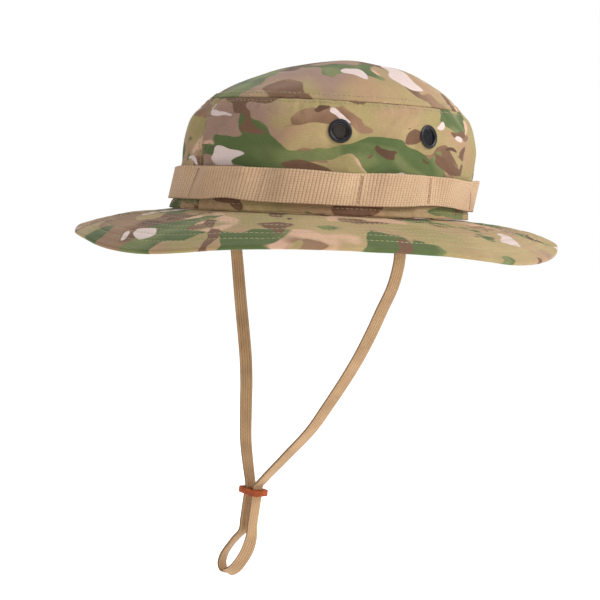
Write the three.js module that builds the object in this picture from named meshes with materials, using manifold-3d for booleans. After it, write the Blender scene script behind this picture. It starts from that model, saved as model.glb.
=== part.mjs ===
// Boonie hat: soft crown, wavy stitched brim, webbing foliage band, screened vents, chin cord and keeper.
// Millimetres, +Z up, front of the hat toward -Y, the wearer's left ear toward +X. The origin is the middle
// of the head opening, level with the seam where the crown meets the brim.
import * as THREE from "three";
import Module from "manifold-3d";

const wasm = await Module();
wasm.setup();

// Head opening, an ellipse; every radius below is an amount grown out of it.
const HALF_X = 84, HALF_Y = 99;
const GAP = 0.35;              // air between neighbouring pieces
const CLOTH = 1.0;             // one ply of cotton with its seam allowance
const STEPS = 48;              // facets round the head
const TURN = 11;               // the soft crown sits turned this far on the brim, degrees
// The soft crown also leans toward the back left: [height, sideways] from the brim seam up, and at the pole.
const LEAN_WAY = 47, LEAN = [[0, 0], [28, 5], [68, 7.5]], LEAN_POLE = 13;

// Crown wall, outside face: [height, growth] from the brim seam up to the crown seam.
const WALL = [[0.35, 2], [6, 1], [28, -2.5], [43, -3.2], [59, -6], [64, -9.2], [68, -13]];
const SEAM_Z = 68, SEAM_GROW = -13, DOME_RISE = 28.5, DOME_POWER = 0.84;

// Brim: cut width, edge drop, and the wave of its edge as [harmonic, cosine, sine] in millimetres.
const BRIM_W = 58.4, BRIM_DROP = 14.02;
const BRIM_WAVE = [[1, 2.93, 3.3], [2, -0.24, 1.61], [3, 2.09, -4], [4, -0.08, -0.74], [5, 0.25, -0.3],
  [6, -0.09, 0.92], [7, 0.04, -1.21]];

// Foliage band: webbing from BAND_LOW to BAND_HIGH, sewn down at ten bars and standing off between them.
const BAND_LOW = 6, BAND_HIGH = 26, WEBBING = 1.1, BAND_OFF = 3.1;
const BARS = [97.5, 63, 26.5, -3, -38, -72, -108, -144, -184, -226];

// Vents: angles on the crown from the wearer's left ear toward the front, and their height.
const VENTS = { front_left: 25.6, rear_left: -12.2, front_right: 154.4, rear_right: 192.2 };
const VENT_Z = 49.5, VENT_FLANGE_R = 7.2, VENT_BORE_R = 4.7, VENT_HOLE_R = 5.6;

// Chin cord: a flat braid in the upright plane y = CORD_Y, and the leather keeper its strands pass through.
const CORD_W = 8.4, CORD_T = 2.4, CORD_Y = -6.8, CORD_STEPS = 100;
// The strands pass the keeper slanting by STRAND_TILT from upright, and the keeper itself hangs nearer level.
const KEEPER = [-44.2, CORD_Y, -181.9], KEEPER_TILT = 5, STRAND_TILT = 8.5, STRAND_HALF = 3.7;
const KEEPER_SIZE = [17.6, 11.8, 4], SLOT = [3.4, 9.2];

const rad = (d) => (d * Math.PI) / 180;
const slot = {
  camo: [0x8f8457, 0.95, 0], lining: [0x7a6f4a, 0.95, 0], webbing: [0xcda585, 0.9, 0], thread: [0xb99a76, 0.9, 0],
  tape: [0x9a8a60, 0.9, 0], enamel: [0x15161a, 0.35, 0.8], screen: [0x202226, 0.5, 0.7], cord: [0x9d7c55, 0.9, 0],
  leather: [0xb4552a, 0.6, 0], label: [0xd9d4c6, 0.9, 0],
};

function add(group, name, geometry, kind) {
  const [color, roughness, metalness] = slot[kind];
  const mesh = new THREE.Mesh(geometry, new THREE.MeshStandardMaterial({ color, roughness, metalness }));
  mesh.name = name;
  group.add(mesh);
}

// Point on the grown ellipse at t degrees from the left ear toward the front.
const at = (t, grow, z) => [(HALF_X + grow) * Math.cos(rad(t)), -(HALF_Y + grow) * Math.sin(rad(t)), z];

// Unit normal of the crown wall at t, leaning up by the wall's own taper.
function wallNormal(t, z) {
  const slope = (wall(z - 1) - wall(z + 1)) / 2;
  const n = new THREE.Vector3((HALF_Y - 4) * Math.cos(rad(t)), -(HALF_X - 4) * Math.sin(rad(t)), 0).normalize();
  return n.setZ(slope).normalize();
}

// Value at height z of a list of [height, value] pairs joined by straight lines.
function along(list, z) {
  const above = list.findIndex(([h]) => h >= z);
  const i = above < 0 ? list.length - 2 : Math.max(0, above - 1);
  const [[z0, v0], [z1, v1]] = [list[i], list[i + 1]];
  return v0 + ((v1 - v0) * (z - z0)) / (z1 - z0);
}
const wall = (z) => along(WALL, z);
const shifted = ([x, y, z], far) => [x + far * Math.cos(rad(LEAN_WAY)), y + far * Math.sin(rad(LEAN_WAY)), z];
const leaning = (point, z) => shifted(point, along(LEAN, z));

const turned = (t, z) => t + TURN * Math.min(1, z / 40);
const crownAt = (t, grow, z) => leaning(at(turned(t, z), grow, z), z);
const drop = (t) => BRIM_WAVE.reduce((s, [n, c, d]) => s + c * Math.cos(n * rad(t)) + d * Math.sin(n * rad(t)),
  BRIM_DROP);

// Closed solid between two grids of points, outer[i][j] and inner[i][j]; i runs round, j across. A closed
// grid joins its last column to its first. Corners that coincide, as at a pole, are merged.
function sheet(columns, rows, outer, inner, closed) {
  const index = new Map(), points = [], faces = [];
  const corner = (p) => {
    const key = p.map((v) => Math.round(v * 1e4)).join();
    if (!index.has(key)) { index.set(key, points.length); points.push(p); }
    return index.get(key);
  };
  const grid = (f) => columns.map((u) => rows.map((v) => corner(f(u, v))));
  const tri = (a, b, c) => { if (a !== b && b !== c && a !== c) faces.push(a, b, c); };
  const quad = (a, b, c, d) => { tri(a, b, c); tri(a, c, d); };
  const o = grid(outer), n = grid(inner), m = columns.length, k = rows.length;
  for (let i = 0; i < (closed ? m : m - 1); i++) {
    const e = (i + 1) % m;
    for (let j = 0; j + 1 < k; j++) {
      quad(o[i][j], o[e][j], o[e][j + 1], o[i][j + 1]);
      quad(n[i][j], n[i][j + 1], n[e][j + 1], n[e][j]);
    }
    quad(o[i][0], n[i][0], n[e][0], o[e][0]);
    if (o[i][k - 1] !== o[e][k - 1]) quad(o[i][k - 1], o[e][k - 1], n[e][k - 1], n[i][k - 1]);
  }
  if (!closed) {
    for (let j = 0; j + 1 < k; j++) {
      quad(o[0][j], o[0][j + 1], n[0][j + 1], n[0][j]);
      quad(o[m - 1][j], n[m - 1][j], n[m - 1][j + 1], o[m - 1][j + 1]);
    }
  }
  return outward(points, faces);
}

// Geometry from points and faces, turned inside out if its volume comes out negative.
function outward(points, faces) {
  let volume = 0;
  for (let i = 0; i < faces.length; i += 3) {
    const [a, b, c] = [0, 1, 2].map((s) => new THREE.Vector3(...points[faces[i + s]]));
    volume += a.dot(b.cross(c));
  }
  if (volume < 0) for (let i = 0; i < faces.length; i += 3) [faces[i], faces[i + 1]] = [faces[i + 1], faces[i]];
  const g = new THREE.BufferGeometry();
  g.setAttribute("position", new THREE.Float32BufferAttribute(points.flat(), 3));
  g.setIndex(faces);
  return g;
}

const spread = (from, to, count) => Array.from({ length: count + 1 }, (_, i) => from + ((to - from) * i) / count);
const round = (start = 0) => spread(start, start + 360, STEPS).slice(0, -1);

function manifold(g) {
  const vertProperties = Float32Array.from(g.attributes.position.array);
  return new wasm.Manifold(new wasm.Mesh({ numProp: 3, vertProperties, triVerts: Uint32Array.from(g.index.array) }));
}

function geometry(m) {
  const mesh = m.getMesh(), g = new THREE.BufferGeometry(), p = [];
  for (let i = 0; i < mesh.vertProperties.length; i += mesh.numProp) p.push(...mesh.vertProperties.slice(i, i + 3));
  g.setAttribute("position", new THREE.Float32BufferAttribute(p, 3));
  g.setIndex(Array.from(mesh.triVerts));
  return g;
}

// Frame of a vent: its centre on the wall's outside face and the outward normal as local +Y.
function ventFrame(t) {
  const way = turned(t, VENT_Z);
  const q = new THREE.Quaternion().setFromUnitVectors(new THREE.Vector3(0, 1, 0), wallNormal(way, VENT_Z));
  return new THREE.Matrix4().compose(new THREE.Vector3(...crownAt(t, wall(VENT_Z), VENT_Z)), q,
    new THREE.Vector3(1, 1, 1));
}

// Body of revolution in a vent's frame; the profile closes on itself.
function turnedPart(t, profile, sides = 16) {
  const points = [], faces = [], n = profile.length;
  for (let i = 0; i < sides; i++) {
    const a = (i * 2 * Math.PI) / sides, e = (i + 1) % sides;
    profile.forEach(([r, y], j) => {
      const p = new THREE.Vector3(r * Math.cos(a), y, r * Math.sin(a)).applyMatrix4(ventFrame(t));
      points.push(p.toArray());
      const k = (j + 1) % n;
      faces.push(i * n + j, i * n + k, e * n + k, i * n + j, e * n + k, e * n + j);
    });
  }
  return outward(points, faces);
}

function disc(t, radius, low, high) {
  const g = new THREE.CylinderGeometry(radius, radius, high - low, 16);
  g.translate(0, (low + high) / 2, 0).applyMatrix4(ventFrame(t));
  const points = [], faces = [], seen = new Map(), a = g.attributes.position;
  for (let i = 0; i < a.count; i++) {
    const p = [a.getX(i), a.getY(i), a.getZ(i)], key = p.map((v) => Math.round(v * 1e4)).join();
    if (!seen.has(key)) { seen.set(key, points.length); points.push(p); }
    faces.push(seen.get(key));
  }
  return outward(points, Array.from(g.index.array, (i) => faces[i]));
}

// Half of the crown wall between its two upright seams, with the vent holes cut through it.
function crownSide(start, vents) {
  const rows = WALL.map(([z]) => z).map((z, i, all) => (i === all.length - 1 ? z - GAP : z));
  const cols = spread(start, start + 180, STEPS / 2);
  cols[0] += 0.12;
  cols[cols.length - 1] -= 0.12;
  let body = manifold(sheet(cols, rows, (t, z) => crownAt(t, wall(z), z), (t, z) => crownAt(t, wall(z) - CLOTH, z)));
  for (const t of vents) body = body.subtract(manifold(disc(t, VENT_HOLE_R, -4, 4)));
  return geometry(body);
}

// Oval top panel, domed, from the crown seam to its pole.
function crownTop() {
  const rows = [1, 0.985, 0.95, 0.87, 0.72, 0.52, 0.28, 0];
  const dome = (thin) => (t, s) => {
    const rise = (DOME_RISE - thin) * Math.pow(1 - s * s, DOME_POWER);
    const [x, y] = at(turned(t, SEAM_Z), SEAM_GROW - thin, SEAM_Z);
    const lean = along(LEAN, SEAM_Z);
    return shifted([x * s, y * s, SEAM_Z + rise], lean + (LEAN_POLE - lean) * (1 - s * s));
  };
  return sheet(round(90), rows, dome(0), dome(CLOTH), true);
}

// Binding tape over the seam allowance inside the crown seam.
function crownSeamBinding() {
  const rows = [[60.5, 1.45], [64, 1.45], [68, 1.7], [71.5, 5.2]];
  const face = (thick) => (t, [z, inset]) => crownAt(t, wall(Math.min(z, SEAM_Z)) - inset - thick, z);
  return sheet(round(90), rows, face(0), face(0.8), true);
}

// Tape over an upright seam of the crown wall, inside, from the sweatband to the binding.
function seamTape(t) {
  const face = (thick) => (a, z) => crownAt(a, wall(z) - CLOTH - GAP - 0.1 - thick, z);
  return sheet([t - 3.2, t, t + 3.2], [31, 43, 59], face(0), face(0.7));
}

function sweatband() {
  const face = (thick) => (t, z) => crownAt(t, wall(z) - CLOTH - GAP - 0.05 - thick, z);
  return sheet(round(90), [1, 6, 28, 30], face(0), face(1.1), true);
}

// Blank size label on the sweatband at the back.
function sizeLabel() {
  const face = (thick) => (t, z) => crownAt(t, wall(z) - CLOTH - 1.1 - 2 * GAP - 0.1 - thick, z);
  return sheet([-97.5, -90, -82.5], [8, 24], face(0), face(0.5));
}

// One ply of the brim; depth is how far its upper face lies under the brim's own upper face.
function brimPly(depth) {
  const face = (down) => (t, u) => {
    const fall = drop(t) * (0.6 * u + 0.4 * u * u);
    return at(t, -1 + (BRIM_W + 3) * u, -depth - down - fall);
  };
  return sheet(round(), [0, 0.3, 0.65, 1], face(0), face(CLOTH), true);
}

// Share of its full stand-off that the band has at a place along a loop, and the band's own radii.
const LOOP = [[0, 0], [0.06, 0], [0.2, 0.85], [0.4, 1], [0.6, 1], [0.8, 0.85], [0.94, 0]];
function bandGrow(share, z) {
  return (wall(z) + GAP + 0.2) * (1 - share) + BAND_OFF * share;
}

function foliageBand() {
  const columns = BARS.flatMap((t, i) => {
    const next = i + 1 < BARS.length ? BARS[i + 1] : BARS[0] - 360;
    return LOOP.map(([s, share]) => [t + (next - t) * s, share]);
  });
  const face = (thick) => ([t, share], z) => leaning(at(t, bandGrow(share, z) + thick, z), z);
  return sheet(columns, [BAND_LOW, BAND_HIGH], face(WEBBING), face(0), true);
}

// Bar of thread that sews the band down between two loops.
function bandBar(t) {
  const face = (thick) => (a, z) => leaning(at(a, bandGrow(0, z) + WEBBING + GAP - 0.1 + thick, z), z);
  return sheet([t - 0.8, t + 0.8], [BAND_LOW + 1, BAND_HIGH - 1], face(0.7), face(0));
}

// Enamelled eyelet with its barrel through the wall, the washer behind, and the wire screen in the barrel.
function ventPieces(group, name, t) {
  const b = VENT_BORE_R, f = VENT_FLANGE_R;
  const eyelet = [[b, -2.7], [b + 0.6, -2.7], [b + 0.6, 0.3], [f - 0.2, 0.3], [f, 0.6], [f - 0.7, 1.15],
    [b + 1, 1.35], [b, 1]];
  add(group, `vent_eyelet_${name}`, turnedPart(t, eyelet), "enamel");
  add(group, `vent_washer_${name}`, turnedPart(t, [[b + 0.95, -2.6], [f - 0.3, -2.6], [f - 0.3, -1.9],
    [b + 0.95, -1.9]]), "enamel");
  add(group, `vent_screen_${name}`, disc(t, b - 0.3, -1.5, -1), "screen");
}

// Centreline of the chin cord: left-ear strand down through the keeper, round the loop, up to the right ear.
function cordPath() {
  const way = [-Math.sin(rad(STRAND_TILT)), -Math.cos(rad(STRAND_TILT))];
  const strand = (side, down) => {
    const across = side * STRAND_HALF;
    return [KEEPER[0] - across * way[1] + down * way[0], KEEPER[2] + across * way[0] + down * way[1]];
  };
  const points = [
    [78, 7], [78, -2], [78.3, -14], [78, -26.2], [73.8, -41], [65.5, -56], [57, -71.3], [47.2, -86.9],
    [35.5, -102.8], [22.2, -119.2], [7.8, -136], [-12.5, -154], [-22.8, -163], [-31, -170],
    [-36.3, -174.8], strand(1, -4.5), strand(1, -2), strand(1, 4), strand(1, 12), strand(1, 22),
    [-44.4, -213], [-47.6, -221.6], [-53.6, -230], [-59.5, -235.8], [-65.5, -238.6], [-70.2, -237.8],
    [-72.2, -233.8], [-70.8, -228.5], [-67.6, -223.8], [-59.2, -215], strand(-1, 27), strand(-1, 20),
    strand(-1, 8), strand(-1, 2), strand(-1, -3.5), [-48.6, -172], [-50.2, -166], [-53.6, -150], [-55, -127.5],
    [-55.6, -111.8], [-57.3, -96.2], [-60.2, -80.7], [-63.5, -65.1], [-66.6, -49.6], [-69.6, -33.9],
    [-71.8, -23], [-74.4, -11], [-76, 0], [-76.8, 7],
  ];
  return new THREE.CatmullRomCurve3(points.map(([x, z]) => new THREE.Vector3(x, CORD_Y, z)), false, "centripetal");
}

function chinCord() {
  const w = CORD_W / 2, h = CORD_T / 2, c = 0.7;
  const section = new THREE.Shape([[w, -h + c], [w, h - c], [w - c, h], [0, h], [-w + c, h], [-w, h - c],
    [-w, -h + c], [-w + c, -h], [0, -h], [w - c, -h]].map(([x, y]) => new THREE.Vector2(x, y)));
  return new THREE.ExtrudeGeometry(section, { steps: CORD_STEPS, extrudePath: cordPath() });
}

// Stitched tab that holds an end of the cord to the sweatband.
function cordAnchor(side) {
  const g = new THREE.BoxGeometry(1.2, 8, 8);
  g.translate(...leaning([side * 79.7, CORD_Y, 6], 6));
  return g;
}

// Leather keeper: a short block with rounded ends and a slot for each strand of the cord.
function keeper() {
  const [l, w, t] = KEEPER_SIZE, r = 1.8;
  const reach = STRAND_HALF / Math.cos(rad(STRAND_TILT - KEEPER_TILT));
  const corners = [[1, 1, 0], [-1, 1, 90], [-1, -1, 180], [1, -1, 270]];
  const outline = new THREE.Shape(corners.flatMap(([sx, sy, from]) => [0, 30, 60, 90].map((d) =>
    new THREE.Vector2(sx * (l / 2 - r) + r * Math.cos(rad(from + d)), sy * (w / 2 - r) + r * Math.sin(rad(from + d))))));
  for (const side of [-1, 1]) {
    const x = side * reach, [a, b] = [SLOT[0] / 2, SLOT[1] / 2];
    const hole = new THREE.Path([[a, b - 0.4], [a - 0.4, b], [-a + 0.3, b - 0.05], [-a, b - 0.4], [-a, 0.4 - b],
      [-a + 0.3, 0.05 - b], [a - 0.4, -b], [a, 0.4 - b]].map(([u, v]) => new THREE.Vector2(x + side * u, v)));
    outline.holes.push(hole);
  }
  const g = new THREE.ExtrudeGeometry(outline, { depth: t, bevelEnabled: false, curveSegments: 3 });
  g.translate(0, 0, -t / 2).rotateY(rad(KEEPER_TILT)).translate(...KEEPER);
  return g;
}

const hat = new THREE.Group();
hat.name = "boonie_hat";
add(hat, "crown_top", crownTop(), "camo");
add(hat, "crown_side_left", crownSide(-90, [VENTS.front_left, VENTS.rear_left]), "camo");
add(hat, "crown_side_right", crownSide(90, [VENTS.front_right, VENTS.rear_right]), "camo");
add(hat, "crown_seam_binding", crownSeamBinding(), "tape");
add(hat, "front_seam_tape", seamTape(90), "tape");
add(hat, "back_seam_tape", seamTape(-90), "tape");
add(hat, "sweatband", sweatband(), "lining");
add(hat, "size_label", sizeLabel(), "label");
["brim_top", "brim_interlining", "brim_bottom"].forEach((name, i) => {
  add(hat, name, brimPly(i * (CLOTH + GAP)), i === 1 ? "lining" : "camo");
});
add(hat, "foliage_band", foliageBand(), "webbing");
BARS.forEach((t, i) => add(hat, `band_bar_${i + 1}`, bandBar(t), "thread"));
for (const [name, t] of Object.entries(VENTS)) ventPieces(hat, name, t);
add(hat, "cord_anchor_left", cordAnchor(1), "tape");
add(hat, "cord_anchor_right", cordAnchor(-1), "tape");
add(hat, "chin_cord", chinCord(), "cord");
add(hat, "cord_keeper", keeper(), "leather");

export default hat;
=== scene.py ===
"""Boonie hat in its worn shape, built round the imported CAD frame. Lengths are millimetres until to_mesh()."""
import math
import bpy
import numpy as np
from mathutils import Vector, Matrix

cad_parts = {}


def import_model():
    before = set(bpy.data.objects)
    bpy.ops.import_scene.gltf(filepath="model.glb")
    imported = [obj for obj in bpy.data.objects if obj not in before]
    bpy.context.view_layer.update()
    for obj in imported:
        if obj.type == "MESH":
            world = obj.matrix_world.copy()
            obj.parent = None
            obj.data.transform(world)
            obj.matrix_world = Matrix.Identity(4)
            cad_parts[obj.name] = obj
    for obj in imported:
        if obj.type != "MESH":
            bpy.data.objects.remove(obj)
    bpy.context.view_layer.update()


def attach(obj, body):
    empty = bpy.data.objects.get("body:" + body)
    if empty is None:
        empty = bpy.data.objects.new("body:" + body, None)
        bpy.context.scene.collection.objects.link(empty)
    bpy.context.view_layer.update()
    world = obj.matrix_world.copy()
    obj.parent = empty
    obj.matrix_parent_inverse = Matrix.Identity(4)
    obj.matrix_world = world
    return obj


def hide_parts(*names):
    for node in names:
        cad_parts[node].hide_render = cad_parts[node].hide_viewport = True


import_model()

MM = 0.001
rad = np.radians

# ---------------------------------------------------------------- driving dimensions, as in the CAD
HALF_X, HALF_Y = 84, 99
TURN, LEAN_WAY = 11, 47
LEAN = [(0, 0), (28, 5), (68, 7.5)]
LEAN_POLE = 13
WALL = [(0.35, 2), (6, 1.2), (28, -2.5), (43, -3.0), (55, -4.6), (60, -6.2), (64, -9), (68, -13)]
SEAM_Z, SEAM_GROW, DOME_RISE, DOME_POWER = 68, -13, 28.5, 0.84
BRIM_W, BRIM_DROP = 58.4, 14.02
BRIM_WAVE = [(1, 2.93, 3.3), (2, -0.24, 1.61), (3, 2.09, -4), (4, -0.08, -0.74), (5, 0.25, -0.3),
             (6, -0.09, 0.92), (7, 0.04, -1.21)]
BAND_LOW, BAND_HIGH, WEBBING, BAND_OFF = 6, 26, 1.1, 3.1
BARS = [97.5, 63, 26.5, -3, -38, -72, -108, -144, -184, -226]
VENTS = {"front_left": 25.6, "rear_left": -12.2, "front_right": 154.4, "rear_right": 192.2}
VENT_Z, FLANGE_R, BORE_R = 49.5, 7.2, 4.7
CORD_W, CORD_T, CORD_Y = 8.4, 2.4, -6.8
KEEPER, KEEPER_TILT, STRAND_TILT, STRAND_HALF = (-44.2, CORD_Y, -181.9), 5, 8.5, 3.7
KEEPER_HALF, SLOT_HALF = (8.8, 5.9, 2.0), (1.6, 4.5)

# ---------------------------------------------------------------- sizes that only the looks need
CLOTH, BRIM_PLY, INTERLINING_PLY = 0.8, 0.6, 0.3
SLACK_WIDE, SLACK_FINE, FOLD_HIGH, FULLNESS = 1.15, 0.7, 2.9, 2.6
PUCKER, GATHER = 0.42, 0.42
CREASE_FOOT, CREASE_HEAD, CREASE_LOW, CREASE_TALL = 88, 69.5, 29, 31.5
MM_PER_DEGREE = 1.6
DOME_SLACK_WIDE, DOME_SLACK_FINE, DOME_PUCKER = 1.4, 0.9, 0.36
ROW_FIRST, ROW_GAP, ROWS, QUILT = 4.2, 6.5, 8, 0.32
EDGE_R, HEM_CURL, NEAR_SIDE = 1.45, 1.7, 43
RIPPLE = 0.5
RIB, RIB_HIGH, WEB_LIFT = 2.1, 0.26, 0.75
BRAID_RIBS = 5
SCREEN_GAP, SCREEN_WIRE, SCREEN_DEPTH = 0.6, 0.2, -0.9

# ---------------------------------------------------------------- camera
AZIMUTH, ELEVATION, ROLL, DISTANCE = 47.0, 2.82, 2.57, 1.2
AIM = Vector((-0.0070, -0.0075, -0.0548))
LENS = 113.6


def make_camera():
    a, e, r = math.radians(AZIMUTH), math.radians(ELEVATION), math.radians(ROLL)
    back = Vector((math.sin(a) * math.cos(e), -math.cos(a) * math.cos(e), math.sin(e)))
    right = Vector((math.cos(a), math.sin(a), 0))
    up = back.cross(right)
    x = right * math.cos(r) + up * math.sin(r)
    y = up * math.cos(r) - right * math.sin(r)
    cam = bpy.data.objects.new("camera", bpy.data.cameras.new("camera"))
    cam.data.lens, cam.data.sensor_width = LENS, 36
    cam.data.clip_start, cam.data.clip_end = 0.05, 60
    m = Matrix((x, y, back)).transposed().to_4x4()
    m.translation = AIM + back * DISTANCE
    cam.matrix_world = m
    bpy.context.collection.objects.link(cam)
    bpy.context.scene.camera = cam


make_camera()


# ---------------------------------------------------------------- shape helpers
def soft(table, z, blur=2.5):
    """Value along a table of (place, value), with its corners rounded off."""
    xs, vs = zip(*table)
    return sum(np.interp(z + d * blur, xs, vs) for d in np.linspace(-1, 1, 7)) / 7


def ellipse(t, grow):
    return np.stack([(HALF_X + grow) * np.cos(rad(t)), -(HALF_Y + grow) * np.sin(rad(t))], -1)


def lean(far):
    return np.stack([far * math.cos(math.radians(LEAN_WAY)), far * math.sin(math.radians(LEAN_WAY))], -1)


def join(xy, z):
    return np.concatenate([xy, np.broadcast_to(z, xy.shape[:-1])[..., None]], -1)


def turned(t, z):
    return t + TURN * np.minimum(1, z / 40)


def crown_at(t, z, inset=0.0):
    """Point of the crown wall, t degrees from the left ear on the crown, z up, inset into the hat."""
    return join(ellipse(turned(t, z), soft(WALL, z) - inset) + lean(soft(LEAN, z)), z)


def drop(t):
    return BRIM_DROP + sum(c * np.cos(n * rad(t)) + s * np.sin(n * rad(t)) for n, c, s in BRIM_WAVE)


def hashed(ix, iy, seed):
    h = (ix.astype(np.int64) * 374761393 + iy.astype(np.int64) * 668265263 + seed * 974634777) & 0x7FFFFFFF
    h = ((h ^ (h >> 13)) * 1274126177) & 0x7FFFFFFF
    return ((h ^ (h >> 16)) & 0xFFFF) / 32767.5 - 1


def noise(x, y, seed=0, wrap=0):
    """Smooth value noise from -1 to 1; wrap makes it repeat after that many cells along x."""
    ix, iy = np.floor(x).astype(int), np.floor(y).astype(int)
    fx, fy = x - ix, y - iy
    fx, fy = (f * f * f * (f * (f * 6 - 15) + 10) for f in (fx, fy))
    col = (lambda c: c % wrap) if wrap else (lambda c: c)
    a, b = hashed(col(ix), iy, seed), hashed(col(ix + 1), iy, seed)
    c, d = hashed(col(ix), iy + 1, seed), hashed(col(ix + 1), iy + 1, seed)
    return (a + (b - a) * fx) * (1 - fy) + (c + (d - c) * fx) * fy


def normals(p, closed):
    """Unit normals of a grid of points, columns first."""
    if closed:
        q = np.concatenate([p[-1:], p, p[:1]], 0)
        du = (q[2:] - q[:-2]) / 2
    else:
        du = np.gradient(p, axis=0)
    n = np.cross(du, np.gradient(p, axis=1))
    return n / np.maximum(np.linalg.norm(n, axis=-1, keepdims=True), 1e-9)


def facing_up(p, closed=True):
    n = normals(p, closed)
    return np.where(n[..., 2:] < 0, -n, n)


def facing_out(p, closed=True):
    n = normals(p, closed)
    return np.where((n[..., :2] * p[..., :2]).sum(-1)[..., None] < 0, -n, n)


def winds_in(p, j=0):
    """Whether the faces of an upright grid of points would face into the hat."""
    return (np.cross(p[1, j] - p[0, j], p[0, j + 1] - p[0, j])[:2] * p[0, j, :2]).sum() < 0


def bump_out(x, width):
    return np.exp(-(x / width) ** 2)


def step(x, lo, hi):
    f = np.clip((x - lo) / (hi - lo), 0, 1)
    return f * f * (3 - 2 * f)


def to_mesh(name, verts, faces, uvs=None, smooth=True):
    mesh = bpy.data.meshes.new(name)
    mesh.from_pydata((np.asarray(verts, float) * MM).tolist(), [], [list(map(int, f)) for f in faces])
    if uvs is not None:
        layer = mesh.uv_layers.new(name="cloth")
        loops = np.zeros(len(mesh.loops), int)
        mesh.loops.foreach_get("vertex_index", loops)
        layer.data.foreach_set("uv", np.asarray(uvs, float)[loops].ravel())
    mesh.polygons.foreach_set("use_smooth", [smooth] * len(mesh.polygons))
    mesh.update()
    obj = bpy.data.objects.new(name, mesh)
    bpy.context.collection.objects.link(obj)
    return obj


def grid_mesh(name, p, uv, closed=False, keep=None, flip=False):
    """Mesh of a grid of points p[i, j]. A closed one repeats its first column, so that its UVs don't tear."""
    if closed:
        p = np.concatenate([p, p[:1]], 0)
        if len(uv) < len(p):
            uv = np.concatenate([uv, uv[:1]], 0)
    m, k = p.shape[:2]
    idx = np.arange(m * k).reshape(m, k)
    a, b, c, d = idx[:-1, :-1], idx[1:, :-1], idx[1:, 1:], idx[:-1, 1:]
    quads = np.stack([a, d, c, b] if flip else [a, b, c, d], -1).reshape(-1, 4)
    if keep is not None:
        quads = quads[keep(p.reshape(-1, 3)[quads].mean(1))]
    used, inverse = np.unique(quads, return_inverse=True)
    quads = inverse.reshape(quads.shape)
    obj = to_mesh(name, p.reshape(-1, 3)[used], quads, uv.reshape(-1, 2)[used])
    if closed:
        weld(obj)
    return obj


def weld(obj, distance=1e-6):
    """Merges points closer than distance, in metres."""
    m = obj.modifiers.new("weld", "WELD")
    m.merge_threshold = distance
    apply(obj)


def apply(obj):
    """Applies every modifier on the object."""
    graph = bpy.context.evaluated_depsgraph_get()
    done = bpy.data.meshes.new_from_object(obj.evaluated_get(graph))
    old = obj.data
    obj.modifiers.clear()
    obj.data = done
    bpy.data.meshes.remove(old)


def thicken(obj, thick, offset=-1.0, inner_slot=0):
    m = obj.modifiers.new("ply", "SOLIDIFY")
    m.thickness, m.offset, m.use_even_offset = thick * MM, offset, False
    m.material_offset = inner_slot
    apply(obj)


def fit_out(obj, body, replaces=(), material=None):
    if material is not None:
        obj.data.materials.append(material)
    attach(obj, body)
    if replaces:
        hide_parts(*replaces)
    return obj


# ---------------------------------------------------------------- materials
def srgb(r, g, b):
    return tuple(((c / 255) / 12.92 if c / 255 <= 0.04045 else (((c / 255) + 0.055) / 1.055) ** 2.4)
                 for c in (r, g, b)) + (1.0,)


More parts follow.
